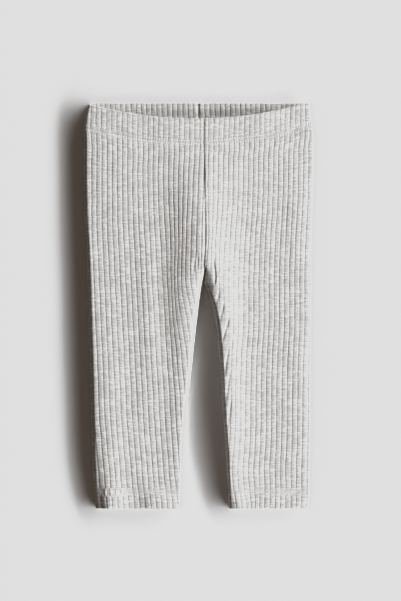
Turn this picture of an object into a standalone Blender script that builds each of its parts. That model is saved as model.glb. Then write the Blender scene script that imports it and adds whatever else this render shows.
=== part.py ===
"""Baby's ribbed leggings, laid flat with the front up.

Each half of the garment is a wall of rib jersey that runs from the centre-front seam across
the front, round the side fold and back underneath to the centre-back seam. Below the crotch
the wall closes on itself along the inseam and is a flattened tube. The waistband is the same
wall, doubled over an elastic, and the hem is doubled cloth.

Frame: +X to the wearer's left, +Y to the waist, +Z up from the surface the garment lies on.
All sizes below are in millimetres.
"""
import math
from collections import namedtuple

import bmesh
import bpy

MM = 0.001

# Overall sizes
LENGTH = 363.6
TOP = LENGTH / 2
BOTTOM = -LENGTH / 2
WAISTBAND_DEPTH = 20.9
HEM_DEPTH = 18.8
STITCH = TOP - WAISTBAND_DEPTH
HEM_STITCH = BOTTOM + HEM_DEPTH
CROTCH = 32.0
SEAM_GAP = 0.3

# Thickness of each wall, and the room between the front and the back
CLOTH = 2.0
WAISTBAND_WALL = 2.9
HEM_WALL = 2.6
LAYER_GAP = 0.8
WAISTBAND_GAP = 0.9

# Ribs: flat ridges with a narrow groove between them
RIB_PITCH_WAIST = 4.70
RIB_PITCH_HEM = 5.05
RIB_HEIGHT = 0.7
INNER_RIB_HEIGHT = 0.5
RIB_SHOULDERS = (0.28, 0.72)
PLAIN_STEP = 4

# The front of the waist hangs lower than the back, in a shallow curve that dies out below
FRONT_DIP = 12.0
DIP_CENTRE = -7.0
DIP_HALF_RIGHT = 97.0
DIP_HALF_LEFT = 112.0
DIP_END = 88.0

# The folded side: a half-round edge, fuller than the layers beside it
FOLD_RADIUS = 2.7
FOLD_BULGE = 1.2
FOLD_REACH = 9.0
FOLD_ANGLES = (90, 60, 30, 0, -30, -60, -90)
FOLD_RIBS = (0, 1, 1, 0, 1, 0, 0)

# The inseam edge below the crotch: a half-round edge in two quarters, beside a soft ridge
UPPER_ROLL = (0, 30, 60, 90)
LOWER_ROLL = (-90, -60, -30, 0)
RIDGE_REACH = 17.0

# The cloth stands fuller beside the waistband and the hem
WAIST_FULLNESS = 2.2
WAIST_REACH = 14.0
HEM_FULLNESS = 1.5
HEM_REACH = 7.0

# Rounding of the folded waist and hem edges
EDGE_ROUNDING = 0.7
EDGE_LENGTH = 1.3

# Longest step between two sections
ROW_STEP = 22.0

# Stations name the points round a section, so that sections of unlike length can be joined:
# the inner edge is at plus and minus EDGE_STATION, and the ribs count up from the side fold
EDGE_STATION = 200.0
SAME_STATION = 1e-6

HalfRow = namedtuple("HalfRow", "y side inner ridge")

# Side fold, inner edge (the centre-front seam above the crotch) and the height of the ridge
# along that edge, from the waist to the hem
RIGHT_ROWS = (
    HalfRow(181.8, -102.0, 2.7, 0.0),
    HalfRow(160.9, -103.7, 3.2, 0.0),
    HalfRow(130.0, -104.0, 4.1, 0.3),
    HalfRow(90.0, -103.2, 4.5, 1.5),
    HalfRow(50.0, -101.1, 4.8, 2.7),
    HalfRow(32.0, -100.5, 5.0, 2.8),
    HalfRow(24.0, -100.2, 2.8, 2.7),
    HalfRow(9.5, -99.7, 0.2, 2.5),
    HalfRow(-19.0, -98.5, -3.6, 2.2),
    HalfRow(-62.5, -97.1, -8.6, 1.8),
    HalfRow(-100.0, -96.1, -13.0, 1.4),
    HalfRow(-134.5, -95.0, -15.3, 1.1),
    HalfRow(-163.0, -94.3, -15.9, 0.8),
    HalfRow(-181.8, -93.4, -16.8, 0.8),
)
LEFT_ROWS = (
    HalfRow(181.8, 100.4, 2.7, 0.0),
    HalfRow(160.9, 102.4, 3.2, 0.0),
    HalfRow(150.0, 104.0, 3.5, 0.1),
    HalfRow(128.0, 103.9, 4.1, 0.3),
    HalfRow(90.0, 102.7, 4.5, 1.5),
    HalfRow(50.0, 102.0, 4.8, 2.7),
    HalfRow(32.0, 102.0, 5.0, 2.8),
    HalfRow(24.0, 101.9, 6.0, 2.7),
    HalfRow(9.5, 101.8, 10.2, 2.5),
    HalfRow(-5.0, 101.6, 14.0, 2.3),
    HalfRow(-19.0, 101.5, 16.3, 2.2),
    HalfRow(-62.5, 101.1, 20.3, 1.8),
    HalfRow(-100.0, 101.0, 22.6, 1.4),
    HalfRow(-134.5, 100.6, 25.2, 1.1),
    HalfRow(-163.0, 100.3, 26.5, 0.8),
    HalfRow(-181.8, 99.0, 27.1, 0.8),
)
BACK_SEAM_TOP = -1.8

# Heights on a leg where its form changes; sections are also set between them
LEG_STOPS = (
    STITCH - SEAM_GAP / 2, 150.0, 130.0, 90.0, 50.0, CROTCH + 5, CROTCH, 24.0, 9.5, -19.0,
    -62.5, -100.0, -134.5, HEM_STITCH + HEM_REACH, HEM_STITCH + SEAM_GAP / 2,
)

# Grey heather cotton: colour (linear) and roughness
CLOTH_COLOUR = (0.56, 0.55, 0.535, 1.0)
CLOTH_ROUGHNESS = 0.92

Point = namedtuple("Point", "station x y z")
Section = namedtuple("Section", "y inset")
Wall = namedtuple("Wall", "thickness gap inner_ribs")


def read_row(table, column, y):
    """Smooth value of a table's column at height y, with no overshoot between its rows."""
    ys = [row.y for row in table]
    values = [getattr(row, column) for row in table]
    if y >= ys[0]:
        return values[0]
    if y <= ys[-1]:
        return values[-1]

    def slope(n):
        return (values[n + 1] - values[n]) / (ys[n + 1] - ys[n])

    def tangent(n):
        if n == 0 or n == len(ys) - 1:
            return 0.0
        before, after = slope(n - 1), slope(n)
        return 0.0 if before * after <= 0 else 2 * before * after / (before + after)

    i = next(n for n in range(len(ys) - 1) if ys[n + 1] <= y)
    span = ys[i + 1] - ys[i]
    t = (y - ys[i]) / span
    near = (1 + 2 * t) * (1 - t) ** 2 * values[i] + t * (1 - t) ** 2 * span * tangent(i)
    far = t * t * (3 - 2 * t) * values[i + 1] + t * t * (t - 1) * span * tangent(i + 1)
    return near + far


def rib_pitch(y):
    share = (TOP - y) / LENGTH
    return RIB_PITCH_WAIST + share * (RIB_PITCH_HEM - RIB_PITCH_WAIST)


def front_dip(x, y):
    """How far the front lies below the level of the back, at this place."""
    reach = DIP_HALF_RIGHT if x < DIP_CENTRE else DIP_HALF_LEFT
    curve = max(0.0, 1 - ((x - DIP_CENTRE) / reach) ** 2)
    share = min(1.0, max(0.0, (y - DIP_END) / (STITCH - DIP_END)))
    return FRONT_DIP * curve * share


class Half:
    """One half of the garment. Its sign is +1 where the front runs towards +X from the side."""

    def __init__(self, rows, sign):
        self.rows = rows
        self.sign = sign

    def side(self, y):
        return read_row(self.rows, "side", y)

    def inner(self, y):
        edge = read_row(self.rows, "inner", y)
        return edge - self.sign * SEAM_GAP / 2 if y >= CROTCH else edge

    def width(self, y):
        return abs(self.inner(y) - self.side(y))

    def back_seam(self, y):
        share = (TOP - y) / (TOP - CROTCH)
        seam = BACK_SEAM_TOP + share * (read_row(self.rows, "inner", CROTCH) - BACK_SEAM_TOP)
        return seam - self.sign * SEAM_GAP / 2

    def height(self, wall, distance, y):
        """Top of the front above the surface, at a distance from the side fold."""
        to_edge = self.width(y) - distance
        rise = FOLD_BULGE * math.exp(-(distance / FOLD_REACH) ** 2)
        rise += read_row(self.rows, "ridge", y) * math.exp(-(to_edge / RIDGE_REACH) ** 2)
        if HEM_STITCH < y < STITCH:
            rise += WAIST_FULLNESS * math.exp((y - STITCH) / WAIST_REACH)
            rise += HEM_FULLNESS * math.exp((HEM_STITCH - y) / HEM_REACH)
        return 2 * wall.thickness + wall.gap + rise


def rib_columns(y, room, ribbed):
    """Rib number and distance from the side fold of the points across a layer."""
    steps = (0.0, *RIB_SHOULDERS) if ribbed else (0.0,)
    last = int((room - FOLD_RADIUS) / rib_pitch(y)) + 1
    columns = []
    for rib in range(0, last + 1, 1 if ribbed else PLAIN_STEP):
        for step in steps:
            number = rib + step
            distance = FOLD_RADIUS + number * rib_pitch(y)
            if number > 0 and distance < room:
                columns.append((number, distance, 1 if step else 0))
    return columns


def ring(half, wall, y, depth, ribbed):
    """Points of one section at a depth inside the wall's outer face.

    They run from the inner edge over the front, round the side fold and back underneath,
    with falling stations.
    """
    closed = y <= CROTCH
    sign = half.sign
    points = []

    def place(station, x, z, front_share):
        points.append(Point(station, x, y - front_share * front_dip(x, y), z))

    def roll(edge_x, outward, height, angles, reliefs, first):
        """A round edge: its points at the given angles, 90 on top and -90 underneath."""
        shrink = 1 - depth / (height / 2)
        for n, (angle, relief) in enumerate(zip(angles, reliefs)):
            a = math.radians(angle)
            rise = relief * RIB_HEIGHT if ribbed else 0.0
            reach = (FOLD_RADIUS * shrink + rise) * math.cos(a)
            z = height / 2 * (1 + shrink * math.sin(a)) + rise * math.sin(a)
            place(first - n, edge_x - outward * (FOLD_RADIUS - reach), z, z / height)

    margin = RIB_SHOULDERS[0] * rib_pitch(y)
    no_ribs = (0,) * len(UPPER_ROLL)
    if closed:
        edge_height = half.height(wall, half.width(y) - FOLD_RADIUS, y)
        roll(half.inner(y), sign, edge_height, UPPER_ROLL, no_ribs, EDGE_STATION)
        room = half.width(y) - FOLD_RADIUS - margin
    else:
        place(EDGE_STATION, half.inner(y), half.height(wall, half.width(y), y) - depth, 1.0)
        room = half.width(y) - margin
    for number, distance, relief in reversed(rib_columns(y, room, ribbed)):
        z = half.height(wall, distance, y) - depth + relief * RIB_HEIGHT
        place(number, half.side(y) + sign * distance, z, 1.0)
    fold_height = half.height(wall, FOLD_RADIUS, y)
    roll(half.side(y), -sign, fold_height, FOLD_ANGLES, FOLD_RIBS, 0)
    if wall.inner_ribs and depth >= wall.thickness:
        back_width = abs(half.back_seam(y) - half.side(y))
        for number, distance, relief in rib_columns(y, back_width - margin, True):
            z = depth + relief * INNER_RIB_HEIGHT
            place(-len(FOLD_ANGLES) - number, half.side(y) + sign * distance, z, 0.0)
    if closed:
        first = len(LOWER_ROLL) - 1 - EDGE_STATION
        roll(half.inner(y), sign, edge_height, LOWER_ROLL, no_ribs, first)
    else:
        place(-EDGE_STATION, half.back_seam(y), depth, 0.0)
    return points


def add_ring(mesh, points, closed):
    """Stations and vertices of a section; a closed one ends on the vertex it starts from."""
    own = points[:-1] if closed else points
    verts = [mesh.verts.new((p.x * MM, p.y * MM, p.z * MM)) for p in own]
    if closed:
        verts.append(verts[0])
    return [(p.station, v) for p, v in zip(points, verts)]


def bridge(mesh, near, far):
    """Skin between two sections: quads where both have a station, triangles where one ends."""
    i = j = 0
    while i < len(near) - 1 or j < len(far) - 1:
        next_near = near[i + 1][0] if i < len(near) - 1 else -math.inf
        next_far = far[j + 1][0] if j < len(far) - 1 else -math.inf
        start = (near[i][1], far[j][1])
        i += next_near >= next_far - SAME_STATION
        j += next_far >= next_near - SAME_STATION
        corners = (start[0], near[i][1], far[j][1], start[1])
        mesh.faces.new(dict.fromkeys(corners))


def close_seam(mesh, outer, inner, end):
    """The cut edge of the wall along the centre seam, between two sections."""
    (near_outer, far_outer), (near_inner, far_inner) = outer, inner
    mesh.faces.new((near_outer[end][1], far_outer[end][1], far_inner[end][1], near_inner[end][1]))


def cloth_material(name):
    material = bpy.data.materials.new(name)
    material.use_nodes = True
    shader = material.node_tree.nodes["Principled BSDF"]
    shader.inputs["Base Color"].default_value = CLOTH_COLOUR
    shader.inputs["Roughness"].default_value = CLOTH_ROUGHNESS
    shader.inputs["Metallic"].default_value = 0.0
    return material


def build_piece(name, half, wall, sections, collection, parent):
    """A wall of cloth through its sections, as one closed solid."""
    mesh = bmesh.new()
    outer, inner = [], []
    for section in sections:
        closed = section.y <= CROTCH
        face = ring(half, wall, section.y, section.inset, True)
        inside = ring(half, wall, section.y, wall.thickness, False)
        outer.append(add_ring(mesh, face, closed))
        inner.append(add_ring(mesh, inside, closed))
    for n in range(len(sections) - 1):
        bridge(mesh, outer[n], outer[n + 1])
        bridge(mesh, inner[n], inner[n + 1])
        if sections[n].y > CROTCH:
            for end in (0, -1):
                close_seam(mesh, outer[n:n + 2], inner[n:n + 2], end)
    bridge(mesh, outer[0], inner[0])
    bridge(mesh, outer[-1], inner[-1])
    bmesh.ops.recalc_face_normals(mesh, faces=mesh.faces)
    data = bpy.data.meshes.new(name)
    mesh.to_mesh(data)
    mesh.free()
    data.materials.append(cloth_material(name + "_rib_jersey"))
    piece = bpy.data.objects.new(name, data)
    piece.parent = parent
    collection.objects.link(piece)
    return piece


def waistband_sections():
    top = TOP - EDGE_LENGTH
    bottom = STITCH + SEAM_GAP / 2
    return [Section(TOP, EDGE_ROUNDING), Section(top, 0.0), Section((top + bottom) / 2, 0.0),
            Section(bottom, 0.0)]


def leg_sections():
    sections = []
    for upper, lower in zip(LEG_STOPS, LEG_STOPS[1:]):
        steps = math.ceil((upper - lower) / ROW_STEP)
        sections.extend(Section(upper + n * (lower - upper) / steps, 0.0) for n in range(steps))
    sections.append(Section(LEG_STOPS[-1], 0.0))
    return sections


def hem_sections():
    top = HEM_STITCH - SEAM_GAP / 2
    bottom = BOTTOM + EDGE_LENGTH
    return [Section(top, 0.0), Section(bottom, 0.0), Section(BOTTOM, EDGE_ROUNDING)]


def build_leggings():
    for item in list(bpy.data.objects):
        bpy.data.objects.remove(item, do_unlink=True)
    collection = bpy.data.collections.new("leggings")
    bpy.context.scene.collection.children.link(collection)
    root = bpy.data.objects.new("leggings", None)
    collection.objects.link(root)
    walls = {
        "waistband": (Wall(WAISTBAND_WALL, WAISTBAND_GAP, True), waistband_sections()),
        "leg": (Wall(CLOTH, LAYER_GAP, False), leg_sections()),
        "hem": (Wall(HEM_WALL, LAYER_GAP, False), hem_sections()),
    }
    halves = {"right": Half(RIGHT_ROWS, 1), "left": Half(LEFT_ROWS, -1)}
    for piece, (wall, sections) in walls.items():
        for side, half in halves.items():
            build_piece(f"{piece}_{side}", half, wall, sections, collection, root)


build_leggings()
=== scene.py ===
"""Baby's ribbed leggings in grey heather jersey, laid flat with the front up.

Each half of the garment is one sheet of rib jersey that runs from the centre-front seam across
the front, round the side fold and back underneath to the centre-back seam; below the crotch it
closes along the inseam. Waist casing and hems are the same cloth turned in and sewn down.

All sizes in the tables are in millimetres. +X is the wearer's left, +Y the waist, +Z up.
"""
import math
from collections import namedtuple

import bmesh
import bpy
from mathutils import Matrix, Vector, noise


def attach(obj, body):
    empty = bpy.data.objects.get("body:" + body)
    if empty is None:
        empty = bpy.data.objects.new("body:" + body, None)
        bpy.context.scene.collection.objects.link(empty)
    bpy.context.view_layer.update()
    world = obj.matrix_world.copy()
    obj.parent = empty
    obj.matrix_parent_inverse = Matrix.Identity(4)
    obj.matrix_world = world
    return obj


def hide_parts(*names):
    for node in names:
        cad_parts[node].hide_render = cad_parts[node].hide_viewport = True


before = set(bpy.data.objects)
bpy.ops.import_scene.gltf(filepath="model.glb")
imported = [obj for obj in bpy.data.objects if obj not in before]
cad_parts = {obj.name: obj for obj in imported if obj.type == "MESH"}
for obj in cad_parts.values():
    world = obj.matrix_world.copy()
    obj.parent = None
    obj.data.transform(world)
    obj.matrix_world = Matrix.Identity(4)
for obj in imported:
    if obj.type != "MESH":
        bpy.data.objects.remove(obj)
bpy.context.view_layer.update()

bl_info = {
    "name": "Baby's ribbed leggings",
    "version": (1, 0, 0),
    "blender": (4, 5, 0),
    "location": "View3D > Sidebar > Leggings",
    "description": "Ribbed leggings laid flat, with their sewing, a floor, a light and a camera",
    "category": "Add Mesh",
}

MM = 0.001


def rows(kind, table):
    """A table's rows as named values."""
    return tuple(kind(*row) for row in table)


# Ends, lines where casing and hems are sewn down, crotch, and the gap at the centre seam
TOP = 182.5
BOTTOM = -181.3
STITCH = 160.9
HEM_STITCH = -163.0
CROTCH = 32.0
SEAM_GAP = 0.3

# Lowest that the cloth comes to the surface it lies on
RESTING = 0.03

# Folded side and inseam edges: how far in from the edge the round part reaches
RollRow = namedtuple("RollRow", "y reach")

RIGHT_ROLLS = rows(RollRow, (
    (181.8, 1.9), (170, 2.7), (150, 3.2), (100, 3.6), (40, 4.2), (-20, 4.4), (-181.8, 4.3),
))
LEFT_ROLLS = rows(RollRow, ((181.8, 2.7), (-181.8, 2.7)))
RIGHT_INNER_ROLLS = rows(RollRow, ((32, 2.9), (10, 3.6), (-20, 3.8), (-60, 3), (-181.8, 2.9)))
LEFT_INNER_ROLLS = rows(RollRow, (
    (32, 1.7), (24, 2.3), (9.5, 4.2), (-20, 4.2), (-45, 4), (-75, 3.2), (-181.8, 2.9),
))

# The front of the waist hangs lower than the back, in a shallow curve that dies out below
FRONT_DIP = 13.9
DIP_CENTRE = -3.0
DIP_HALF_RIGHT = 101.0
DIP_HALF_LEFT = 98.0
DIP_END = 88.0

# Side fold, and the inner edge: the centre seam down to the crotch, the inseam below it
Outline = namedtuple("Outline", "y side inner")

RIGHT_OUTLINE = rows(Outline, (
    (181.8, -100.2, 3.6), (176, -102.3, 3.65), (160.9, -104, 3.8), (130, -104.6, 4.35),
    (90, -103.9, 4.4), (50, -101.9, 4.5), (32, -101.3, 4.8), (24, -101, 2.8),
    (9.5, -100.5, 0.2), (-19, -99.8, -3.6), (-62.5, -98.4, -8.6), (-100, -97.6, -13),
    (-134.5, -96.6, -15.3), (-163, -95.4, -15.9), (-181.8, -93.8, -16.8),
))
LEFT_OUTLINE = rows(Outline, (
    (181.8, 100.4, 3.6), (160.9, 102.4, 3.8), (150, 104, 3.95), (130, 103.9, 4.35),
    (90, 102.7, 4.4), (50, 102, 4.5), (32, 102, 4.8), (24, 101.9, 4), (9.5, 101.8, 8.4),
    (-5, 101.6, 12.5), (-19, 101.5, 14.8), (-62.5, 101.1, 18.8), (-100, 101, 21),
    (-134.5, 100.6, 23.6), (-163, 100.3, 25), (-181.8, 99, 26),
))

# The centre-back seam at the waist; it runs straight to the crotch
BACK_SEAM_TOP = -1.8

# At the waist the back's ribs nearest the side fold are drawn together; the rest stand straight
GATHERED_RIBS = 4.0

# Rib lines: distance of the first groove from the side fold, the pitch, and how far the ribs
# beyond "squeezed from" are drawn together by the crotch
RibRow = namedtuple("RibRow", "y first pitch squeeze squeezed_from squeezed_to")

RIGHT_RIBS = rows(RibRow, (
    (181.8, -2.4, 4.65, 0, 15, 22),
    (176, -0.4, 4.65, 0, 15, 22),
    (166, 0.8, 4.65, 0, 15, 22),
    (141, 2.7, 4.59, 0, 15, 22),
    (123, 2.6, 4.57, 0.3, 15.5, 21.5),
    (96, 2.1, 4.61, 1.8, 15.5, 21),
    (60, 0.7, 4.72, 5.6, 15, 21),
    (24, 0.9, 4.73, 7.9, 14, 20.5),
    (-12, 1.3, 4.79, 4.3, 14, 18),
    (-48, 1.9, 4.8, 1.4, 14, 18),
    (-84, 2, 4.9, 1, 14, 18),
    (-120, 3.5, 4.88, 0.4, 14, 18),
    (-147, 5, 4.85, 0, 14, 18),
    (-174, 5.5, 4.9, 0, 14, 18),
))
LEFT_RIBS = rows(RibRow, (
    (181.8, -3, 4.57, 0, 16, 22),
    (166, -1.4, 4.57, 0, 16, 22),
    (141, 2.6, 4.5, 0, 16, 22),
    (123, 2.5, 4.5, 0, 16, 22),
    (96, 2.2, 4.49, 0.5, 18, 22),
    (60, 3.2, 4.53, 4, 18, 22),
    (24, 4, 4.57, 2, 16, 20),
    (-12, 3.6, 4.57, 1, 14, 18),
    (-48, 4.5, 4.65, 1, 13, 16),
    (-84, 4.9, 4.66, 1.5, 13, 16),
    (-120, 4.8, 4.69, 0.5, 13, 16),
    (-147, 5.2, 4.78, 0, 13, 16),
    (-160, 4.9, 4.72, 0, 8, 13),
    (-181.8, 4.2, 4.67, 3, 8, 13),
))

# One rib: where its points lie across the pitch, and how high each stands out of the groove
RibPoint = namedtuple("RibPoint", "share height")

RIB_SHAPE = rows(RibPoint, (
    (0, 0), (0.09, 0.5), (0.18, 0.9), (0.34, 1), (0.5, 0.93), (0.66, 1), (0.8, 0.9), (0.9, 0.45),
))
BACK_SHAPE = (RIB_SHAPE[0], RIB_SHAPE[2], RIB_SHAPE[4], RIB_SHAPE[6])

# Ribs laid out each way from the side fold; those beyond a seam end at it
RIBS_ROUND = 25

# Height of the front over the surface it lies on, and the loft of each leg over that level
LevelRow = namedtuple("LevelRow", "y level")

LEVELS = rows(LevelRow, (
    (181.8, 6), (166, 6), (160.9, 5.75), (154, 6.15), (140, 6), (100, 6), (-100, 5.9),
    (-140, 5.6), (-160, 5.3), (-167, 5.1), (-174, 5.2), (-181.8, 4.9),
))
RIGHT_LIFT = rows(LevelRow, ((60, 0), (-60, 0)))
LEFT_LIFT = rows(LevelRow, (
    (60, 0), (20, 0.7), (-10, 1.7), (-60, 2), (-98, 1.75), (-120, 1.15), (-143, 0.55),
    (-165, 0),
))

# Soft ridges along the cloth: crest, height, and reach on its -X and its +X side. A power over 2
# makes them flatter on top than a bell
CreaseRow = namedtuple("CreaseRow", "y x height reach_low reach_high")
CREST_POWER = 2.4
FOLD_END_NARROWER = 0.1


def creases(tables):
    """Named ridges and folds, each as its rows."""
    return {name: rows(CreaseRow, table) for name, table in tables.items()}


def short_fold(reach_low, reach_high, *crest):
    """Rows of a short fold, from y, x and height along its crest. Its flat ends are narrower."""
    fold = []
    for y, x, height in crest:
        less = 0.0 if height else FOLD_END_NARROWER
        fold.append((y, x, height, reach_low - less, reach_high - less))
    return fold


RIGHT_CREASES = creases({
    "centre ridge": (
        (160, -8, 0.08, 16, 20), (136, -8, 0.42, 16, 20), (118, -6.5, 0.7, 18, 22),
        (100, -4.5, 1.15, 20, 22), (82, -2.5, 1.52, 22, 24), (64, -1.5, 1.85, 23, 24),
        (48, -0.5, 2.1, 23, 24), (32, -3, 2.2, 22, 15), (19, -7, 2, 19, 13),
        (1, -10.5, 1.58, 16, 14), (-17, -12.5, 1.22, 14, 14), (-35, -13.5, 0.9, 12, 14),
        (-53, -14.5, 0.65, 10, 14), (-90, -17, 0.38, 9, 14), (-130, -18, 0.14, 9, 14),
        (-165, -18, 0.05, 10, 14),
    ),
    "seam ridge": (
        (150, 4, 0, 9, 9), (120, 4, 0.28, 9, 9), (50, 4.5, 0.35, 9, 9), (32, 5, 0.1, 9, 9),
        (20, 5, 0, 9, 9),
    ),
    "tuck 1": short_fold(
        0.9, 0.9, (47, -1.6, 0), (43, -1.9, -0.28), (36, -2.1, -0.28), (32, -2.3, 0)),
    "tuck 2": short_fold(
        0.9, 0.9, (43, -5.3, 0), (39, -5.5, -0.3), (33, -5.7, -0.3), (29, -5.9, 0)),
    "side ridge": (
        (20, -86, 0, 11, 14), (-30, -86, 0.25, 11, 14), (-70, -85, 0.4, 12, 14),
        (-130, -84, 0.35, 12, 14), (-160, -83, 0, 12, 14),
    ),
    "front crease": (
        (60, -46, 0, 8, 8), (30, -46, 0.23, 8, 7), (-10, -45, 0.27, 8, 7),
        (-45, -43, 0.2, 8, 8), (-80, -42, 0, 8, 8),
    ),
    "hem outer fold": (
        (-100, -80, 0, 10, 12), (-135, -80.5, 0.4, 10, 12), (-155, -81, 0.75, 10, 12),
        (-181.8, -81.5, 1.2, 10, 13),
    ),
    "side fall": (
        (181.8, -101, -0.3, 12, 9), (160, -104, -0.2, 12, 9), (135, -104, -0.28, 12, 9),
        (95, -104, -0.28, 12, 9), (50, -102, 0, 12, 9), (-20, -100, 0, 12, 9),
        (-80, -98, -0.15, 12, 9), (-181.8, -94, -0.2, 12, 9),
    ),
    "hem corner": (
        (-145, -96, 0, 12, 9), (-165, -95, -0.5, 12, 8), (-181.8, -93, -1.5, 12, 8),
    ),
    "hem middle fold": (
        (-140, -43, 0, 12, 18), (-160, -43, 0.31, 10, 20), (-181.8, -42, 0.78, 9, 22),
    ),
})
LEFT_CREASES = creases({
    "centre ridge": (
        (160, 3.5, 0.16, 20, 22), (136, 3.8, 0.55, 18, 24), (100, 3, 1.17, 20, 24),
        (64, 3, 1.79, 22, 24), (46, 4, 2.11, 22, 24), (39, 5.5, 2.15, 14, 23),
        (30, 12, 2.1, 9, 20), (19, 15.5, 1.95, 9, 18), (1, 18, 1.64, 9.5, 16),
        (-17, 20.5, 1.4, 10.5, 14.5), (-35, 22.5, 1.25, 12.5, 13.5),
        (-90, 24.5, 1.17, 14, 13.5), (-125, 24.5, 1.01, 14, 13), (-157, 27, 0.7, 14, 12),
    ),
    "seam ridge": (
        (150, 3.5, 0, 10, 9), (120, 3.5, 0.28, 10, 9), (50, 4, 0.35, 10, 9),
        (32, 5, 0.1, 10, 9), (20, 5, 0, 10, 9),
    ),
    "hem corner": (
        (-155, 25, 0, 12, 7), (-168, 25, -0.4, 14, 6), (-181.8, 26, -1.2, 16, 6),
    ),
    "crotch fold": (
        (46, 12, 0, 0.8, 0.8), (38, 12.6, -0.2, 0.9, 0.9), (30, 13.4, -0.3, 1, 1),
        (22, 13.6, -0.25, 0.9, 0.9), (15, 12.6, 0, 0.8, 0.8),
    ),
    "crotch pleat": short_fold(
        1.1, 1, (30, 17.4, 0), (25, 16, 0.22), (17, 12.6, 0.22), (12, 10.6, 0)),
    "drag fold 1": short_fold(
        0.9, 1, (14, 17.4, 0), (9, 16.2, -0.27), (2, 14.2, -0.27), (-3, 13, 0)),
    "drag fold 2": short_fold(
        0.9, 1, (4.5, 21.6, 0), (-1, 20.4, -0.3), (-10, 18.2, -0.3), (-17, 16.8, 0)),
    "drag fold 3": short_fold(
        0.9, 1, (-9, 25.6, 0), (-16, 24.2, -0.3), (-28, 20.8, -0.3), (-35, 19.2, 0)),
    "drag fold 4": short_fold(
        0.9, 1, (-35, 26.4, 0), (-42, 24.8, -0.28), (-58, 22.2, -0.28), (-66, 21, 0)),
    "drag fold 5": short_fold(
        0.9, 1, (-55, 27.4, 0), (-63, 26.2, -0.25), (-83, 23.2, -0.25), (-90, 22.2, 0)),
    "drag fold 6": short_fold(
        0.9, 1, (-78, 28.4, 0), (-88, 27.2, -0.2), (-106, 25, -0.18), (-114, 24.2, 0)),
    "waist corner": (
        (181.8, 98, -1.3, 34, 12), (170, 100, -0.6, 30, 12), (155, 102, 0, 26, 12),
    ),
    "side ridge": (
        (150, 90, 0, 12, 9), (100, 90, 0.23, 14, 8), (-60, 90, 0.27, 14, 8),
        (-130, 90, 0.23, 14, 8), (-163, 90, 0, 12, 9),
    ),
})

# Where the inseam of the left leg shows on the front
InseamRow = namedtuple("InseamRow", "y x")

LEFT_INSEAM = rows(InseamRow, (
    (36, 6.5), (30, 13.4), (15, 13.4), (5.9, 15.6), (-3.2, 19.4), (-14, 23.4), (-30, 26.1),
    (-52.7, 27.9), (-111, 26),
))

# The ribs beyond that inseam are flatter, over this stretch of the leg
INSEAM_STARTS = (38.0, 30.0)
INSEAM_ENDS = (-120.0, -95.0)
INSEAM_EDGE = 0.6
INSEAM_FLATTENED = 0.8

# The cloth dips to the centre seam: on the front by these drops, on the back by one
SeamRow = namedtuple("SeamRow", "y drop")

RIGHT_SEAM_DROPS = rows(SeamRow, (
    (181.8, 0.42), (160.9, 0.3), (135, 0.08), (110, 0.08), (90, 0.24), (32, 0.24),
))
LEFT_SEAM_DROPS = rows(SeamRow, (
    (181.8, 0.26), (155, 0.12), (115, 0.12), (85, 0.3), (60, 0.32), (36, 0.08),
))
SEAM_DROP_REACH = 0.8
BACK_SEAM_DIP = 0.3
BACK_SEAM_REACH = 0.7

# Middle of the hem's sewing, how far a sewn line presses the cloth, and the share of the ribs'
# height that sewing and elastic press away
HEM_SEWING = -167.0
PRESS_REACH = 3.2
WAIST_PRESSED = 0.55
HEM_PRESSED = 0.3
ELASTIC_PRESSED = 0.18

# Cover stitching: its rows, pitch, one stitch's length, width and height, its lean, how deep it
# sits in the cloth, and the sides and rings of its bead
WAIST_STITCH_ROWS = (162.7, 159.1)
HEM_STITCH_ROWS = (-165.5, -169.0)
STITCH_PITCH = 2.25
STITCH_SIZE = (1.3, 0.7, 0.6)
STITCH_SLANT = 0.3
STITCH_SUNK_WAIST = 0.03
STITCH_SUNK_HEM = 0.25
STITCH_SUNK_BACK = 0.42
BEAD_SIDES = 6
BEAD_RINGS = 4

# Rows of points down each piece: from this height, in steps of this size
RowStep = namedtuple("RowStep", "y step")

LEG_ROWS = rows(RowStep, (
    (STITCH, 1.3), (150, 3), (60, 2), (-30, 3), (-150, 1.5), (HEM_STITCH, 0),
))
WAIST_ROWS = rows(RowStep, ((TOP, 2.2), (STITCH + 6.0, 1.3), (STITCH, 0.0)))
HEM_ROWS = rows(RowStep, ((HEM_STITCH, 1.3), (HEM_STITCH - 9.0, 2.2), (BOTTOM, 0.0)))

# The turned-in fold of casing and hem: its points in degrees, how flat it is pressed, the flat
# stretch next to it, and the share of the ribs that shows on it
FOLD_ANGLES = (0, 30, 60, 90, 120, 150, 180)
FOLD_PRESSED = 0.15
FOLD_HOLD = 0.35
FOLD_RELIEF = 0.9

# The layer turned in: the step of its rows, how much closer it comes to the outer layer and over
# which distance from the fold, and the share of its ribs
INSIDE_STEP = 1.8
INSIDE_THINNER = 1.4
INSIDE_THINNER_FROM = 3.5
INSIDE_THINNER_TO = 13.0
INSIDE_RELIEF = 1.15

# Least part of the side fold's size that is left for a layer inside it
FOLD_LEFT_OPEN = 0.1

# Points closer than this become one
MERGE_DISTANCE = 0.02

# Strips in which the area and the width of a piece's cloth are measured
STRIPS = 60

# A rib's mean width, and the fibres in the heather yarn: length, width, share, pattern offset
RIB_PITCH = 4.7
Streak = namedtuple("Streak", "length width share offset")

STREAKS = rows(Streak, (
    (2.2, 1, 0.9, 0),
    (6.5, 1.1, 1.25, 31),
    (14, 1.4, 0.7, 67),
    (16, 9, 0.45, 113),
))

# Where the cloth is drawn tight and the ribs are flatter: centre, reach, and how much
TightPlace = namedtuple("TightPlace", "x y across along flattened")

TIGHT_PLACES = rows(TightPlace, (
    (-23, 8, 14, 42, 0.4),
    (23, 12, 12, 34, 0.45),
    (31, -125, 9, 50, 0.35),
))

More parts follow.
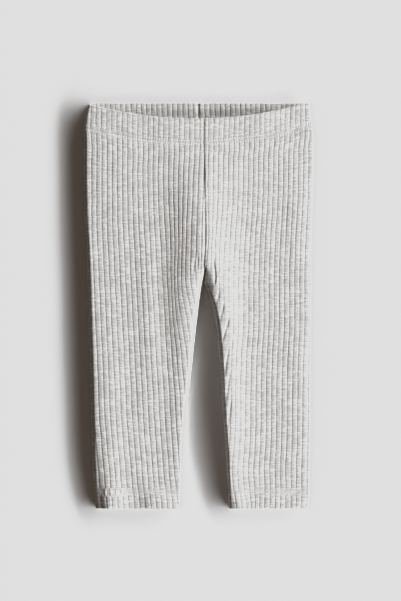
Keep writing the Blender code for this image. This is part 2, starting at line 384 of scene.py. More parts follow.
# Slow unevenness of the knit: how much, how fast it changes from rib to rib and down a rib, and
# pattern offset. Ribs wander sideways, grooves differ in depth, and the cloth isn't quite level
Drift = namedtuple("Drift", "size per_rib per_mm offset")
SIDEWAYS = Drift(0.35, 0.6, 0.11, 9.0)
DEEPER = Drift(0.45, 0.9, 0.12, 0.0)
LEVEL = Drift(0.12, 0.22, 0.022, 5.0)

# The knit: columns of stitches on a rib, height of a course, how far a stitch's legs lean, the
# relief's depth, and the nap's share of it
WALES_A_RIB = 4.0
COURSE = 1.05
STITCH_LEAN = 1.1
KNIT_RELIEF = 0.12
NAP_SHARE = 0.5

# Painted shade in each groove: the base colour is darkened towards the dark fibre where the ribs'
# shadow falls. How dark and wide it is, and how its strength changes, as gain and offset of a
# pattern drawn out along the rib
PAINTED_GROOVE_SHADE = 0.28
PAINTED_SHADE_WIDTH = 0.17
PAINTED_SHADE_CHANGES = (2.4, -0.3)
PAINTED_SHADE_PATTERN = (1.0, 0.22, 1.0)

# Fineness of the jersey's nap, the thread's twist and the board's tooth, and how much they show
NAP_SCALE = 2200.0
TWIST_SCALE = 900.0
TWIST_SHADE = 0.25
TOOTH_SCALE = 400.0
TOOTH_SHADE = 0.01
TOOTH_COLOUR = (0.7, 0.7, 0.7, 1.0)

# Finishes, as plain values of the shader
JERSEY_FINISH = {"Roughness": 0.92, "Specular IOR Level": 0.25, "Sheen Weight": 0.12,
                 "Sheen Roughness": 0.45}
THREAD_FINISH = {"Roughness": 0.7, "Sheen Weight": 0.2}
BOARD_FINISH = {"Roughness": 0.9, "Specular IOR Level": 0.0}

# Soft shoulder of the tones: light in, light out
TONE_POINTS = (
    (0.0, 0.0), (0.30, 0.30), (0.58, 0.58), (0.70, 0.685), (0.82, 0.735), (1.0, 0.748),
)

# Camera and floor: image side and lens in millimetres, the rest in metres
IMAGE_LONG_SIDE = 36.0
LENS = 85.0
CAMERA_HEIGHT = 1.277
CAMERA_X = 0.00045
CAMERA_Y = 0.0054
FLOOR_SIZE = 6.0

# A low band of light from the right, made of lamps on an arc: distance in metres, angles in
# degrees, power in watts; and a weak warm room light
KEY_DISTANCE = 4.0
KEY_ELEVATION = 10.5
KEY_WIDTH = 16
KEY_HEIGHT = 5.5
KEY_POWER = 122.0
KEY_COLOUR = (0.985, 1.0, 1.015)
ROOM_COLOUR = (1.27, 0.99, 0.78)
ROOM_STRENGTH = 0.062

Lamp = namedtuple("Lamp", "azimuth share")

LAMPS = rows(Lamp, (
    (-56, 0.6), (-40, 0.9), (-24, 1.1), (-8, 1.2), (8, 1.2), (24, 1.1), (40, 0.9), (56, 0.6),
))


def read_row(table, column, y):
    """Smooth value of a table's column at height y, with no overshoot between its rows."""
    ys = [row.y for row in table]
    values = [getattr(row, column) for row in table]
    if y >= ys[0]:
        return values[0]
    if y <= ys[-1]:
        return values[-1]

    def slope(n):
        return (values[n + 1] - values[n]) / (ys[n + 1] - ys[n])

    def tangent(n):
        if n == 0 or n == len(ys) - 1:
            return 0.0
        before, after = slope(n - 1), slope(n)
        return 0.0 if before * after <= 0 else 2 * before * after / (before + after)

    i = next(n for n in range(len(ys) - 1) if ys[n + 1] <= y)
    span = ys[i + 1] - ys[i]
    t = (y - ys[i]) / span
    near = (1 + 2 * t) * (1 - t) ** 2 * values[i] + t * (1 - t) ** 2 * span * tangent(i)
    far = t * t * (3 - 2 * t) * values[i + 1] + t * t * (t - 1) * span * tangent(i + 1)
    return near + far


def smoothstep(low, high, value):
    t = min(1.0, max(0.0, (value - low) / (high - low)))
    return t * t * (3 - 2 * t)


def front_dip(x, y):
    """How far the front lies below the level of the back, at this place."""
    reach = DIP_HALF_RIGHT if x < DIP_CENTRE else DIP_HALF_LEFT
    curve = max(0.0, 1 - ((x - DIP_CENTRE) / reach) ** 2)
    share = min(1.0, max(0.0, (y - DIP_END) / (STITCH - DIP_END)))
    return FRONT_DIP * curve * share


def rib_height(number, shape):
    """Height of the rib surface, 0 in the groove and 1 on the ridge, at a rib number."""
    share = number % 1.0
    points = (*shape, RibPoint(1.0, 0.0))
    for left, right in zip(points, points[1:]):
        if share <= right.share:
            t = (share - left.share) / (right.share - left.share)
            return left.height + t * (right.height - left.height)
    return 0.0


class Section:
    """One level of one half of the garment, ready to place points on it."""

    def __init__(self, half, y):
        self.y = y
        self.sign = half.sign
        self.closed = y <= CROTCH
        self.side = read_row(half.outline, "side", y)
        edge = read_row(half.outline, "inner", y)
        self.edge = edge if self.closed else edge - self.sign * SEAM_GAP / 2
        back = edge
        if not self.closed:
            share = (TOP - y) / (TOP - CROTCH)
            crotch_edge = read_row(half.outline, "inner", CROTCH)
            back = BACK_SEAM_TOP + share * (crotch_edge - BACK_SEAM_TOP)
            back -= self.sign * SEAM_GAP / 2
        self.back_edge = back
        self.level = read_row(LEVELS, "level", y) + read_row(half.lift, "level", y)
        self.creases = [tuple(read_row(ridge, c, y) for c in CreaseRow._fields[1:])
                        for ridge in half.creases.values()]
        self.first, self.pitch, self.squeeze, self.from_rib, self.to_rib = (
            read_row(half.ribs, column, y) for column in RibRow._fields[1:])
        self.back_shift = 0.0
        if y > STITCH:
            inward = self.sign * (self.side - read_row(half.outline, "side", STITCH))
            self.back_shift = inward + read_row(half.ribs, "first", STITCH) - self.first
        self.roll = read_row(half.rolls, "reach", y)
        self.seam_drop = read_row(half.seam_drops, "drop", y)
        self.side_height = self.front_height(self.side + self.sign * self.roll)
        self.side_arc = quarter_arc(self.roll, self.side_height / 2)
        self.front_end = self.side_arc + abs(self.edge - self.side) - self.roll
        self.back_end = self.side_arc + abs(self.back_edge - self.side) - self.roll
        if self.closed:
            self.inner_roll = read_row(half.inner_rolls, "reach", y)
            self.inner_height = self.front_height(self.edge - self.sign * self.inner_roll)
            self.inner_arc = quarter_arc(self.inner_roll, self.inner_height / 2)
            self.front_end += self.inner_arc - self.inner_roll
            self.back_end += self.inner_arc - self.inner_roll
        self.girth = self.front_end + self.back_end

    def front_height(self, x):
        """Height of the front's outer face over the surface, with its ridges and folds."""
        height = self.level
        for crest, rise, reach_low, reach_high in self.creases:
            reach = reach_low if x < crest else reach_high
            height += rise * math.exp(-abs((x - crest) / reach) ** CREST_POWER)
        return height

    def way_round(self, number):
        """Distance along the cloth from the side fold to a rib number; under 0 on the back."""
        way = self.side_arc - self.roll + self.first + number * self.pitch
        way += self.back_shift * min(1.0, max(0.0, -number / GATHERED_RIBS))
        return way - self.squeeze * smoothstep(self.from_rib, self.to_rib, number)

    def across(self, along):
        """Where a distance along the cloth lies, once it is past the side fold."""
        return self.side + self.sign * (self.roll + along - self.side_arc)

    def place(self, way, depth, out):
        """Point at a distance along the cloth, at a depth in the wall, moved outwards."""
        front = way >= 0
        end = self.front_end if front else self.back_end
        along = min(abs(way), end)
        up = 1.0 if front else -1.0
        if along < self.side_arc:
            return self.on_roll(along / self.side_arc, up, self.side, self.sign, self.roll,
                                self.side_height, depth, out)
        if self.closed and along > end - self.inner_arc:
            return self.on_roll((end - along) / self.inner_arc, up, self.edge, -self.sign,
                                self.inner_roll, self.inner_height, depth, out)
        x = self.across(along)
        if not front:
            dip = BACK_SEAM_DIP * math.exp(-((end - along) / BACK_SEAM_REACH) ** 2)
            return self.drop(x, max(RESTING, depth - out) - dip * min(1.0, depth), 0.0)
        z = self.front_height(x) - depth + out
        if not self.closed:
            to_seam = end - along
            z -= self.seam_drop * math.exp(-(to_seam / SEAM_DROP_REACH) ** 2)
        return self.drop(x, z, 1.0)

    def on_roll(self, turn, up, edge, inward, reach, height, depth, out):
        """Point on a round edge: its turn is 0 at the edge and 1 where the flat cloth starts."""
        angle = turn * math.pi / 2
        shrink = max(FOLD_LEFT_OPEN, 1 - depth / (height / 2))
        across = (reach * shrink + out) * math.cos(angle)
        rise = (height / 2 * shrink + out) * math.sin(angle) * up
        z = max(RESTING, height / 2 + rise)
        return self.drop(edge + inward * (reach - across), z, z / height)

    def drop(self, x, z, front_share):
        """Point of the section, let down with the front of the waist."""
        return Vector((x, self.y - front_share * front_dip(x, self.y), z))


def quarter_arc(across, up):
    """Length of a quarter of an ellipse."""
    h = ((across - up) / (across + up)) ** 2
    return math.pi / 4 * (across + up) * (1 + h / 4)


class Half:
    """One half of the garment. Its sign is +1 where the front runs towards +X from the side."""

    def __init__(self, tables, rib_scale, sign, seed):
        (self.outline, self.ribs, self.creases, self.lift, self.rolls, self.inner_rolls,
         self.seam_drops) = tables
        self.rib_scale = rib_scale
        self.sign = sign
        self.seed = seed
        self.sections = {}

    def section(self, y):
        key = round(y, 4)
        if key not in self.sections:
            self.sections[key] = Section(self, y)
        return self.sections[key]


HALVES = {
    "right": Half((RIGHT_OUTLINE, RIGHT_RIBS, RIGHT_CREASES, RIGHT_LIFT, RIGHT_ROLLS,
                   RIGHT_INNER_ROLLS, RIGHT_SEAM_DROPS), rib_scale=1.05, sign=1, seed=3.0),
    "left": Half((LEFT_OUTLINE, LEFT_RIBS, LEFT_CREASES, LEFT_LIFT, LEFT_ROLLS,
                  LEFT_INNER_ROLLS, LEFT_SEAM_DROPS), rib_scale=1.0, sign=-1, seed=11.0),
}

# A row of the sheet: its height, its depth in the wall, the way its outer side faces (along the
# wall's thickness and along the leg), how much rib shows, and the course count for the knit
PathRow = namedtuple("PathRow", "y depth face_out face_along relief course")


def spread(steps):
    """Heights down a piece, from a table of row steps."""
    heights = []
    for upper, lower in zip(steps, steps[1:]):
        count = max(1, round((upper.y - lower.y) / upper.step))
        heights += [upper.y + n * (lower.y - upper.y) / count for n in range(count)]
    return heights + [steps[-1].y]


def rib_relief(y):
    """Share of the rib's full height that shows: sewing and elastic press the ribs flat."""
    waist = math.exp(-((y - STITCH) / PRESS_REACH) ** 4)
    hem = math.exp(-((y - HEM_SEWING) / PRESS_REACH) ** 4)
    elastic = smoothstep(STITCH + PRESS_REACH, STITCH + 2 * PRESS_REACH, y)
    return 1 - WAIST_PRESSED * waist - HEM_PRESSED * hem - ELASTIC_PRESSED * elastic


def leg_path():
    """Rows of a leg's cloth, from the hem seam up."""
    return [PathRow(y, 0.0, 1.0, 0.0, rib_relief(y), y) for y in reversed(spread(LEG_ROWS))]


def folded_path(outer_heights, fold, wall, toward):
    """Rows of cloth that runs to a fold, round it and back; toward is +1 for a fold on top."""
    radius = wall / 2
    reach = radius * FOLD_PRESSED
    centre = fold - toward * reach
    path = [PathRow(y, 0.0, 1.0, 0.0, rib_relief(y), y) for y in outer_heights
            if (centre - y) * toward > 2 * FOLD_HOLD]
    start = centre - toward * FOLD_HOLD
    path.append(PathRow(start, 0.0, 1.0, 0.0, rib_relief(start), start))
    for degrees in FOLD_ANGLES:
        a = math.radians(degrees)
        path.append(PathRow(centre + toward * reach * math.sin(a), radius * (1 - math.cos(a)),
                            math.cos(a), toward * math.sin(a), FOLD_RELIEF,
                            centre + toward * radius * a))
    last = outer_heights[0]
    count = round(abs(start - last) / INSIDE_STEP)
    for n in range(count + 1):
        y = start + n * (last - start) / count
        from_fold = abs(y - centre)
        thinner = INSIDE_THINNER * smoothstep(INSIDE_THINNER_FROM, INSIDE_THINNER_TO, from_fold)
        path.append(PathRow(y, wall - thinner, -1.0, 0.0, INSIDE_RELIEF, 2 * centre - y))
    return path


def rib_columns(back_shape):
    """Rib numbers of the columns of points, from the back seam round to the front seam."""
    columns = [rib + p.share for rib in range(-RIBS_ROUND, 0) for p in back_shape]
    columns += [rib + p.share for rib in range(RIBS_ROUND) for p in RIB_SHAPE]
    return columns + [float(RIBS_ROUND)]


def cloth_sheet(name, half, path, groove_depth, thickness, back_shape=BACK_SHAPE):
    """A sheet of rib jersey: a grid with a column for each point of each rib, laid in place."""
    columns = rib_columns(back_shape)
    mesh = bmesh.new()
    bmesh.ops.create_grid(mesh, x_segments=len(columns) - 1, y_segments=len(path) - 1, size=1.0)
    knit = mesh.loops.layers.uv.new("knit")
    spots = {}
    for vert in mesh.verts:
        column = round((vert.co.x + 1) / 2 * (len(columns) - 1))
        row = path[round((vert.co.y + 1) / 2 * (len(path) - 1))]
        spots[vert] = (columns[column], row)
    for face in mesh.faces:
        for loop in face.loops:
            number, row = spots[loop.vert]
            loop[knit].uv = (number, row.course)
    for vert, (number, row) in spots.items():
        shape = back_shape if number < 0 else RIB_SHAPE
        vert.co = cloth_point(half, number, row, groove_depth, shape) * MM
    if half.sign < 0:
        bmesh.ops.reverse_faces(mesh, faces=mesh.faces)
    bmesh.ops.remove_doubles(mesh, verts=mesh.verts, dist=MERGE_DISTANCE * MM)
    for face in mesh.faces:
        face.smooth = True
    for edge in mesh.edges:
        edge.smooth = not edge.is_boundary
    piece = finish_mesh(name, mesh)
    wall = piece.modifiers.new("cloth thickness", "SOLIDIFY")
    wall.thickness = thickness * MM
    wall.offset = -1.0
    wall.use_rim = True
    return piece


def drift(kind, half, number, y):
    """Slow unevenness of one kind, at a rib number and a height."""
    spot = Vector((number * kind.per_rib, y * kind.per_mm, half.seed + kind.offset))
    return kind.size * noise.noise(spot)


def cloth_point(half, number, row, groove_depth, shape):
    """Place of one point of the sheet, on its rib and in its row."""
    section = half.section(row.y)
    way = section.way_round(number) + drift(SIDEWAYS, half, number, row.y)
    if abs(way) >= (section.front_end if way >= 0 else section.back_end):
        return section.place(way, row.depth, 0.0)
    relief = row.relief * inseam_relief(half, section, way) * drawn_relief(section, way)
    uneven = 1 + drift(DEEPER, half, number, row.y)
    sunk = groove_depth * half.rib_scale * relief * uneven * (1 - rib_height(number, shape))
    level = drift(LEVEL, half, number, row.y)
    point = section.place(way, row.depth, row.face_out * (level - sunk))
    point.y -= row.face_along * sunk
    return point


def drawn_relief(section, way):
    """Share of the ribs left where the cloth is drawn tight."""
    x = section.across(abs(way))
    share = 1.0
    for place in TIGHT_PLACES:
        across = (x - place.x) / place.across
        along = (section.y - place.y) / place.along
        share -= place.flattened * math.exp(-across ** 2 - along ** 2)
    return share


def inseam_relief(half, section, way):
    """Share of the ribs that shows beyond the inseam, where the back wraps round to the front."""
    if half is not HALVES["left"] or way < 0:
        return 1.0
    seam = read_row(LEFT_INSEAM, "x", section.y)
    strength = smoothstep(*INSEAM_STARTS, section.y) * smoothstep(*INSEAM_ENDS, section.y)
    beyond = smoothstep(seam + INSEAM_EDGE, seam - INSEAM_EDGE, section.across(way))
    return 1 - INSEAM_FLATTENED * strength * beyond


def finish_mesh(name, mesh):
    """The object of a finished mesh, in the scene."""
    data = bpy.data.meshes.new(name)
    mesh.to_mesh(data)
    mesh.free()
    piece = bpy.data.objects.new(name, data)
    bpy.context.scene.collection.objects.link(piece)
    return piece


def stitching(name, half, heights, sunk):
    """Rows of sewing thread round one half, each stitch a slim bead half sunk in the cloth."""
    bead = bmesh.new()
    bmesh.ops.create_uvsphere(bead, u_segments=BEAD_SIDES, v_segments=BEAD_RINGS, radius=0.5)
    for face in bead.faces:
        face.smooth = True
    shape = bpy.data.meshes.new("stitch")
    bead.to_mesh(shape)
    bead.free()
    mesh = bmesh.new()
    for y in heights:
        section = half.section(y)
        count = int(section.girth / STITCH_PITCH) - 1
        for n in range(count):
            stitch = shape.copy()
            way = (n + 1) * STITCH_PITCH - section.back_end
            stitch.transform(stitch_frame(section, way, 1 if n % 2 else -1, sunk))
            mesh.from_mesh(stitch)
            bpy.data.meshes.remove(stitch)
    bpy.data.meshes.remove(shape)
    return finish_mesh(name, mesh)


def stitch_frame(section, way, lean, front_sunk):
    """Place, direction and size of the stitch whose middle is at this distance along the cloth."""
    length, width, height = STITCH_SIZE
    sunk = front_sunk if way > 0 else STITCH_SUNK_BACK
    middle = section.place(way, 0.0, -sunk)
    middle.z = max(middle.z, height / 2 + RESTING)
    along = section.place(way + length / 2, 0.0, -sunk) - section.place(
        way - length / 2, 0.0, -sunk)
    along = along.normalized() + Vector((0.0, lean * STITCH_SLANT, 0.0))
    outwards = (middle - section.place(way, 0.0, -sunk - 1.0)).normalized()
    across = outwards.cross(along).normalized()
    turn = Matrix((along.normalized(), across, outwards)).transposed().to_4x4()
    size = Matrix.Diagonal((length, width, height, 1.0))
    return Matrix.Translation(middle * MM) @ turn @ size @ Matrix.Scale(MM, 4)


def strip_area(half, top, bottom, layers=1):
    """Flat area, in square metres, of the cloth round one half between two heights."""
    step = (top - bottom) / STRIPS
    strips = [half.section(top - (n + 0.5) * step).girth * step for n in range(STRIPS)]
    return sum(strips) * layers * MM * MM


def widest(half, top, bottom):
    """Most cloth round one half between two heights, in metres."""
    heights = [top + n * (bottom - top) / STRIPS for n in range(STRIPS + 1)]
    return max(half.section(y).girth for y in heights) * MM


# ---- Materials ----

NUMBER, COLOUR, VECTOR = "NodeSocketFloat", "NodeSocketColor", "NodeSocketVector"


def fill_inputs(tree, node, inputs):
    """Give a node's inputs, by name or number, plain values or the outputs of other nodes."""
    for key, value in dict(inputs).items():
        if isinstance(value, bpy.types.NodeSocket):
            tree.links.new(value, node.inputs[key])
        else:
            node.inputs[key].default_value = value


def add_node(tree, kind, inputs=()):
    node = tree.nodes.new("ShaderNode" + kind)
    fill_inputs(tree, node, inputs)
    return node


def math_node(tree, operation, *values):
    node = tree.nodes.new("ShaderNodeMath")
    node.operation = operation
    fill_inputs(tree, node, enumerate(values))
    return node.outputs[0]


def mix_colours(tree, share, first, second):
    """Sockets 6 and 7 of a Mix node are its two colours, and output 2 is their mix."""
    node = tree.nodes.new("ShaderNodeMix")
    node.data_type = "RGBA"
    fill_inputs(tree, node, {0: share, 6: first, 7: second})
    return node.outputs[2]


def new_group(name, inputs, outputs):
    """A node group, from the name, type and value of its sockets."""
    group = bpy.data.node_groups.new(name, "ShaderNodeTree")
    for kind, sockets in (("INPUT", inputs), ("OUTPUT", outputs)):
        for socket_name, socket_type, value in sockets:
            socket = group.interface.new_socket(socket_name, in_out=kind, socket_type=socket_type)
            if value is not None:
                socket.default_value = value
    return group, group.nodes.new("NodeGroupInput"), group.nodes.new("NodeGroupOutput")


def heather_group():
    """Melange yarn: short light and dark fibres that lie along the courses."""
    group, given, out = new_group(
        "heather yarn",
        [("Yarn", COLOUR, None), ("Light fibre", COLOUR, None), ("Dark fibre", COLOUR, None),
         ("Contrast", NUMBER, 0.5), ("Coordinates", VECTOR, None)],
        [("Color", COLOUR, None)])
    split = add_node(group, "SeparateXYZ", {0: given.outputs["Coordinates"]})
    total = None
    for streak in STREAKS:
        spot = add_node(group, "CombineXYZ", {
            0: math_node(group, "MULTIPLY", split.outputs[0], RIB_PITCH / streak.length),
            1: math_node(group, "MULTIPLY", split.outputs[1], 1 / streak.width),
            2: streak.offset})
        cloud = add_node(group, "TexNoise", {"Vector": spot.outputs[0], "Scale": 1.0,
                                             "Detail": 1.0, "Roughness": 0.6})
        centred = math_node(group, "SUBTRACT", cloud.outputs["Fac"], 0.5)
        part = math_node(group, "MULTIPLY", centred, streak.share)
        total = part if total is None else math_node(group, "ADD", total, part)
    strong = math_node(group, "MULTIPLY", total, given.outputs["Contrast"])
    light = math_node(group, "MAXIMUM", strong, 0.0)
    dark = math_node(group, "MAXIMUM", math_node(group, "MULTIPLY", strong, -1.0), 0.0)
    lit = mix_colours(group, light, given.outputs["Yarn"], given.outputs["Light fibre"])
    colour = mix_colours(group, dark, lit, given.outputs["Dark fibre"])
    fill_inputs(group, out, {"Color": colour})


def knit_group():
    """Rib knit: columns of V stitches on each rib, and a mask of painted shade in the groove
    between ribs.
    """
    group, given, out = new_group(
        "rib stitches",
        [("Coordinates", VECTOR, None), ("Wales a rib", NUMBER, WALES_A_RIB),
         ("Course", NUMBER, COURSE)],
        [("Height", NUMBER, None), ("Groove", NUMBER, None)])
    split = add_node(group, "SeparateXYZ", {0: given.outputs["Coordinates"]})
    wale = math_node(group, "MULTIPLY", split.outputs[0], given.outputs["Wales a rib"])
    side = from_middle(group, wale)
    course = math_node(group, "DIVIDE", split.outputs[1], given.outputs["Course"])
    slanted = math_node(group, "ADD", course, math_node(group, "MULTIPLY", side, STITCH_LEAN))
    loop = math_node(group, "SINE", math_node(group, "MULTIPLY", slanted, 2 * math.pi))
    leg = math_node(group, "SINE", math_node(group, "MULTIPLY", side, 2 * math.pi))
    height = math_node(group, "MULTIPLY", math_node(group, "MULTIPLY_ADD", loop, 0.5, 0.5), leg)
    # The Groove output is a mask of painted shade: darkest in the middle of each groove, and
    # uneven along the rib
    groove = from_middle(group, math_node(group, "ADD", split.outputs[0], 0.5))
    narrow = math_node(group, "MAXIMUM", math_node(
        group, "MULTIPLY_ADD", groove, -1 / PAINTED_SHADE_WIDTH, 1.0), 0.0)
    drawn_out = add_node(group, "VectorMath", {0: given.outputs["Coordinates"],
                                               1: PAINTED_SHADE_PATTERN})
    drawn_out.operation = "MULTIPLY"
    uneven = add_node(group, "TexNoise", {"Vector": drawn_out.outputs[0], "Scale": 1.0,
                                          "Detail": 1.0})
    strength = math_node(group, "MULTIPLY_ADD", uneven.outputs["Fac"], *PAINTED_SHADE_CHANGES)
    fill_inputs(group, out, {"Height": height,
                             "Groove": math_node(group, "MULTIPLY", narrow, strength)})


def from_middle(tree, value):
    """Distance from the middle of each whole step of a value: 0 there and 0.5 at the ends."""
    return math_node(tree, "ABSOLUTE", math_node(
        tree, "SUBTRACT", math_node(tree, "FRACT", value), 0.5))


def shared_groups():
    """The yarn and the knit, each made once and used by every cloth."""
    groups = bpy.data.node_groups
    if "heather yarn" not in groups:
        heather_group()
        knit_group()
    return groups["heather yarn"], groups["rib stitches"]


def new_material(name, finish):
    """A material with the plain values of its finish, its node tree and its shader."""
    material = bpy.data.materials.new(name)
    material.use_nodes = True
    tree = material.node_tree
    shader = tree.nodes["Principled BSDF"]
    fill_inputs(tree, shader, finish)
    return material, tree, shader


def on_object(tree):
    return add_node(tree, "TexCoord").outputs["Object"]


def jersey(name, colours):
    """Rib jersey in heather yarn, matt with a soft nap."""
    yarn, stitches = shared_groups()
    material, tree, shader = new_material(name, JERSEY_FINISH)
    coordinates = tree.nodes.new("ShaderNodeUVMap")
    coordinates.uv_map = "knit"
    dark_fibre = (*colours.dark_fibre, 1.0)
    heather = tree.nodes.new("ShaderNodeGroup")
    heather.node_tree = yarn
    fill_inputs(tree, heather, {
        "Yarn": (*colours.yarn, 1.0), "Light fibre": (*colours.light_fibre, 1.0),
        "Dark fibre": dark_fibre, "Contrast": colours.heather,
        "Coordinates": coordinates.outputs["UV"]})
    knit = tree.nodes.new("ShaderNodeGroup")
    knit.node_tree = stitches
    fill_inputs(tree, knit, {"Coordinates": coordinates.outputs["UV"]})
    # Painted shade: the yarn's colour is darkened towards the dark fibre in each groove, where the
    # ribs' shadow falls
    shade = math_node(tree, "MULTIPLY", knit.outputs["Groove"], PAINTED_GROOVE_SHADE)
    nap = add_node(tree, "TexNoise", {"Vector": on_object(tree), "Scale": NAP_SCALE,
                                      "Detail": 3.0})
    height = math_node(tree, "ADD", knit.outputs["Height"],
                       math_node(tree, "MULTIPLY", nap.outputs["Fac"], NAP_SHARE))
    bump = add_node(tree, "Bump", {"Strength": 0.5, "Distance": KNIT_RELIEF * MM,
                                   "Height": height})
    fill_inputs(tree, shader, {
        "Base Color": mix_colours(tree, shade, heather.outputs["Color"], dark_fibre),
        "Normal": bump.outputs["Normal"]})
    return material


def thread_material(colours):
    """Spun sewing thread: a fine twist across its length."""
    if "sewing_thread" in bpy.data.materials:
        return bpy.data.materials["sewing_thread"]
    material, tree, shader = new_material("sewing_thread", THREAD_FINISH)
    twist = add_node(tree, "TexWave", {"Vector": on_object(tree), "Scale": TWIST_SCALE,
                                       "Distortion": 2.0})
    shade = math_node(tree, "MULTIPLY", twist.outputs["Fac"], TWIST_SHADE)
    fill_inputs(tree, shader, {"Base Color": mix_colours(
        tree, shade, (*colours.thread, 1.0), (*colours.dark_fibre, 1.0))})
    return material


def board_material(colour):
    """Plain pale board with a barely visible tooth."""
    material, tree, shader = new_material("pale_board", BOARD_FINISH)
    grain = add_node(tree, "TexNoise", {"Vector": on_object(tree), "Scale": TOOTH_SCALE})
    shade = math_node(tree, "MULTIPLY", grain.outputs["Fac"], TOOTH_SHADE)
    fill_inputs(tree, shader, {
        "Base Color": mix_colours(tree, shade, (*colour, 1.0), TOOTH_COLOUR)})
    return material


def set_tones(settings):
    """Plain tones with a soft shoulder, so that the pale board reads as one even white.

    The last of the four curves is the one for all colours together.
    """
    settings.view_transform = "Standard"
    settings.look = "None"
    settings.use_curve_mapping = True
    curve = settings.curve_mapping.curves[3]
    curve.points[-1].location = TONE_POINTS[-1]
    for place in TONE_POINTS[1:-1]:
        curve.points.new(*place)
    settings.curve_mapping.update()


def strip_lamp(scene, azimuth, share):
    """One lamp of the low band, aimed at the middle."""
    lamp = bpy.data.lights.new("strip_light", "AREA")
    lamp.shape = "RECTANGLE"
    lamp.size = 2 * KEY_DISTANCE * math.tan(math.radians(KEY_WIDTH / 2))
    lamp.size_y = 2 * KEY_DISTANCE * math.tan(math.radians(KEY_HEIGHT / 2))
    lamp.energy = KEY_POWER * share
    lamp.color = KEY_COLOUR
    key = bpy.data.objects.new("strip_light", lamp)
    rise, turn = math.radians(KEY_ELEVATION), math.radians(azimuth)
    key.location = KEY_DISTANCE * Vector((
        math.cos(rise) * math.cos(turn), math.cos(rise) * math.sin(turn), math.sin(rise)))
    key.rotation_euler = (-key.location).to_track_quat("-Z", "Y").to_euler()
    scene.collection.objects.link(key)


# ---- Settings ----


class LeggingsSizes(bpy.types.PropertyGroup):
    groove_depth: bpy.props.FloatProperty(
        name="Groove depth", description="Depth of the groove between two ribs",
        default=0.15 * MM, unit="LENGTH", min=0.0)
    leg_cloth: bpy.props.FloatProperty(
        name="Leg cloth", description="Thickness of the single cloth of the legs",
        default=1.5 * MM, unit="LENGTH", min=0.0)
    folded_cloth: bpy.props.FloatProperty(
        name="Folded cloth", description="Thickness of each layer of the waist casing and hems",
        default=0.85 * MM, unit="LENGTH", min=0.0)
    waist_wall: bpy.props.FloatProperty(
        name="Waist casing", description="Thickness of the casing with its elastic",
        default=3.1 * MM, unit="LENGTH", min=0.0)
    hem_wall: bpy.props.FloatProperty(
        name="Hem", description="Thickness of the turned-up hem",
        default=2.4 * MM, unit="LENGTH", min=0.0)


class LeggingsColours(bpy.types.PropertyGroup):
    yarn: bpy.props.FloatVectorProperty(
        name="Yarn", description="Main colour of the heather yarn", subtype="COLOR",
        default=(0.514, 0.508, 0.499), min=0.0, max=1.0)
    light_fibre: bpy.props.FloatVectorProperty(
        name="Light fibre", description="Colour of the pale fibres", subtype="COLOR",
        default=(0.80, 0.79, 0.77), min=0.0, max=1.0)
    dark_fibre: bpy.props.FloatVectorProperty(
        name="Dark fibre", description="Colour of the grey fibres", subtype="COLOR",
        default=(0.40, 0.39, 0.375), min=0.0, max=1.0)
    thread: bpy.props.FloatVectorProperty(
        name="Thread", description="Colour of the sewing thread", subtype="COLOR",
        default=(0.80, 0.79, 0.77), min=0.0, max=1.0)
    floor: bpy.props.FloatVectorProperty(
        name="Floor", description="Colour of the board underneath", subtype="COLOR",
        default=(0.86, 0.86, 0.86), min=0.0, max=1.0)
    heather: bpy.props.FloatProperty(
        name="Heather", description="How strongly the fibres differ", default=3.0,
        min=0.0, max=10.0)


# ---- Operators ----


class LEGGINGS_OT_stage(bpy.types.Operator):
    """Lay a pale floor, and set the long soft light and the camera straight above"""
    bl_idname = "leggings.stage"
    bl_label = "Stage"

    def execute(self, context):
        scene = context.scene
        colours = scene.leggings_colours
        mesh = bmesh.new()
        bmesh.ops.create_grid(mesh, x_segments=1, y_segments=1, size=FLOOR_SIZE / 2)
        floor = finish_mesh("floor", mesh)
        floor.data.materials.append(board_material(colours.floor))

        for lamp in LAMPS:
            strip_lamp(scene, lamp.azimuth, lamp.share)

        world = bpy.data.worlds.new("room")
        world.use_nodes = True
        room = world.node_tree.nodes["Background"]
        room.inputs["Color"].default_value = (*ROOM_COLOUR, 1.0)
        room.inputs["Strength"].default_value = ROOM_STRENGTH
        scene.world = world

        camera = bpy.data.cameras.new("camera")
        camera.sensor_width = IMAGE_LONG_SIDE
        camera.lens = LENS
        camera.clip_start = 0.01
        camera.clip_end = 50.0
        viewer = bpy.data.objects.new("camera", camera)
        viewer.location = (CAMERA_X, CAMERA_Y, CAMERA_HEIGHT)
        scene.collection.objects.link(viewer)
        scene.camera = viewer
        set_tones(scene.view_settings)
        return {"FINISHED"}


def user_settings(context):
    return context.scene.leggings_sizes, context.scene.leggings_colours


class LEGGINGS_OT_legs(bpy.types.Operator):
    """Lay the cloth of both legs, from the waist seam to the hem seam"""
    bl_idname = "leggings.legs"
    bl_label = "Legs"

    def execute(self, context):
        sizes, colours = user_settings(context)
        for side, half in HALVES.items():
            piece = cloth_sheet(f"leg_{side}_cloth", half, leg_path(), sizes.groove_depth / MM,
                                sizes.leg_cloth / MM)
            piece.data.materials.append(jersey(f"leg_{side}_rib", colours))
            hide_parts(f"leg_{side}")
            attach(piece, "root")
            widest(half, STITCH, HEM_STITCH)
            strip_area(half, STITCH, HEM_STITCH)
        return {"FINISHED"}


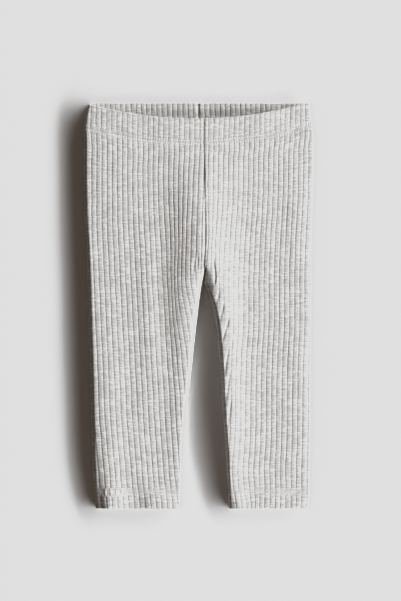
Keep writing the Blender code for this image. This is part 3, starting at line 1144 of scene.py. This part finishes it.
class LEGGINGS_OT_waistband(bpy.types.Operator):
    """Lay the turned-in waist casing of both halves"""
    bl_idname = "leggings.waistband"
    bl_label = "Waistband"

    def execute(self, context):
        sizes, colours = user_settings(context)
        heights = list(reversed(spread(WAIST_ROWS)))
        for side, half in HALVES.items():
            path = folded_path(heights, TOP, sizes.waist_wall / MM, 1)
            piece = cloth_sheet(f"waistband_{side}_cloth", half, path, sizes.groove_depth / MM,
                                sizes.folded_cloth / MM, RIB_SHAPE)
            piece.data.materials.append(jersey(f"waistband_{side}_rib", colours))
            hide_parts(f"waistband_{side}")
            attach(piece, "root")
            sewing = stitching(f"waist_stitching_{side}", half, WAIST_STITCH_ROWS,
                               STITCH_SUNK_WAIST)
            sewing.data.materials.append(thread_material(colours))
            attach(sewing, "root")
            widest(half, TOP, STITCH)
            strip_area(half, TOP, STITCH, 2)
        return {"FINISHED"}


class LEGGINGS_OT_hems(bpy.types.Operator):
    """Lay the turned-up hem of each leg"""
    bl_idname = "leggings.hems"
    bl_label = "Hems"

    def execute(self, context):
        sizes, colours = user_settings(context)
        for side, half in HALVES.items():
            path = folded_path(spread(HEM_ROWS), BOTTOM, sizes.hem_wall / MM, -1)
            piece = cloth_sheet(f"hem_{side}_cloth", half, list(reversed(path)),
                                sizes.groove_depth / MM, sizes.folded_cloth / MM)
            piece.data.materials.append(jersey(f"hem_{side}_rib", colours))
            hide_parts(f"hem_{side}")
            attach(piece, "root")
            sewing = stitching(f"hem_stitching_{side}", half, HEM_STITCH_ROWS,
                               STITCH_SUNK_HEM)
            sewing.data.materials.append(thread_material(colours))
            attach(sewing, "root")
            widest(half, HEM_STITCH, BOTTOM)
            strip_area(half, HEM_STITCH, BOTTOM, 2)
        return {"FINISHED"}


class LEGGINGS_PT_panel(bpy.types.Panel):
    """Pieces of the leggings"""
    bl_idname = "LEGGINGS_PT_panel"
    bl_label = "Leggings"
    bl_space_type = "VIEW_3D"
    bl_region_type = "UI"
    bl_category = "Leggings"

    def draw(self, context):
        for operator in OPERATORS:
            self.layout.operator(operator.bl_idname)
        for group in user_settings(context):
            for name in group.bl_rna.properties.keys():
                if name not in ("rna_type", "name"):
                    self.layout.prop(group, name)


OPERATORS = (LEGGINGS_OT_stage, LEGGINGS_OT_legs, LEGGINGS_OT_waistband, LEGGINGS_OT_hems)
CLASSES = (LeggingsSizes, LeggingsColours, *OPERATORS, LEGGINGS_PT_panel)


def register():
    for item in CLASSES:
        bpy.utils.register_class(item)
    bpy.types.Scene.leggings_sizes = bpy.props.PointerProperty(type=LeggingsSizes)
    bpy.types.Scene.leggings_colours = bpy.props.PointerProperty(type=LeggingsColours)


def unregister():
    del bpy.types.Scene.leggings_colours
    del bpy.types.Scene.leggings_sizes
    for item in reversed(CLASSES):
        bpy.utils.unregister_class(item)


def main():
    register()
    bpy.ops.leggings.stage()
    bpy.ops.leggings.legs()
    bpy.ops.leggings.waistband()
    bpy.ops.leggings.hems()


if __name__ == "__main__":
    main()
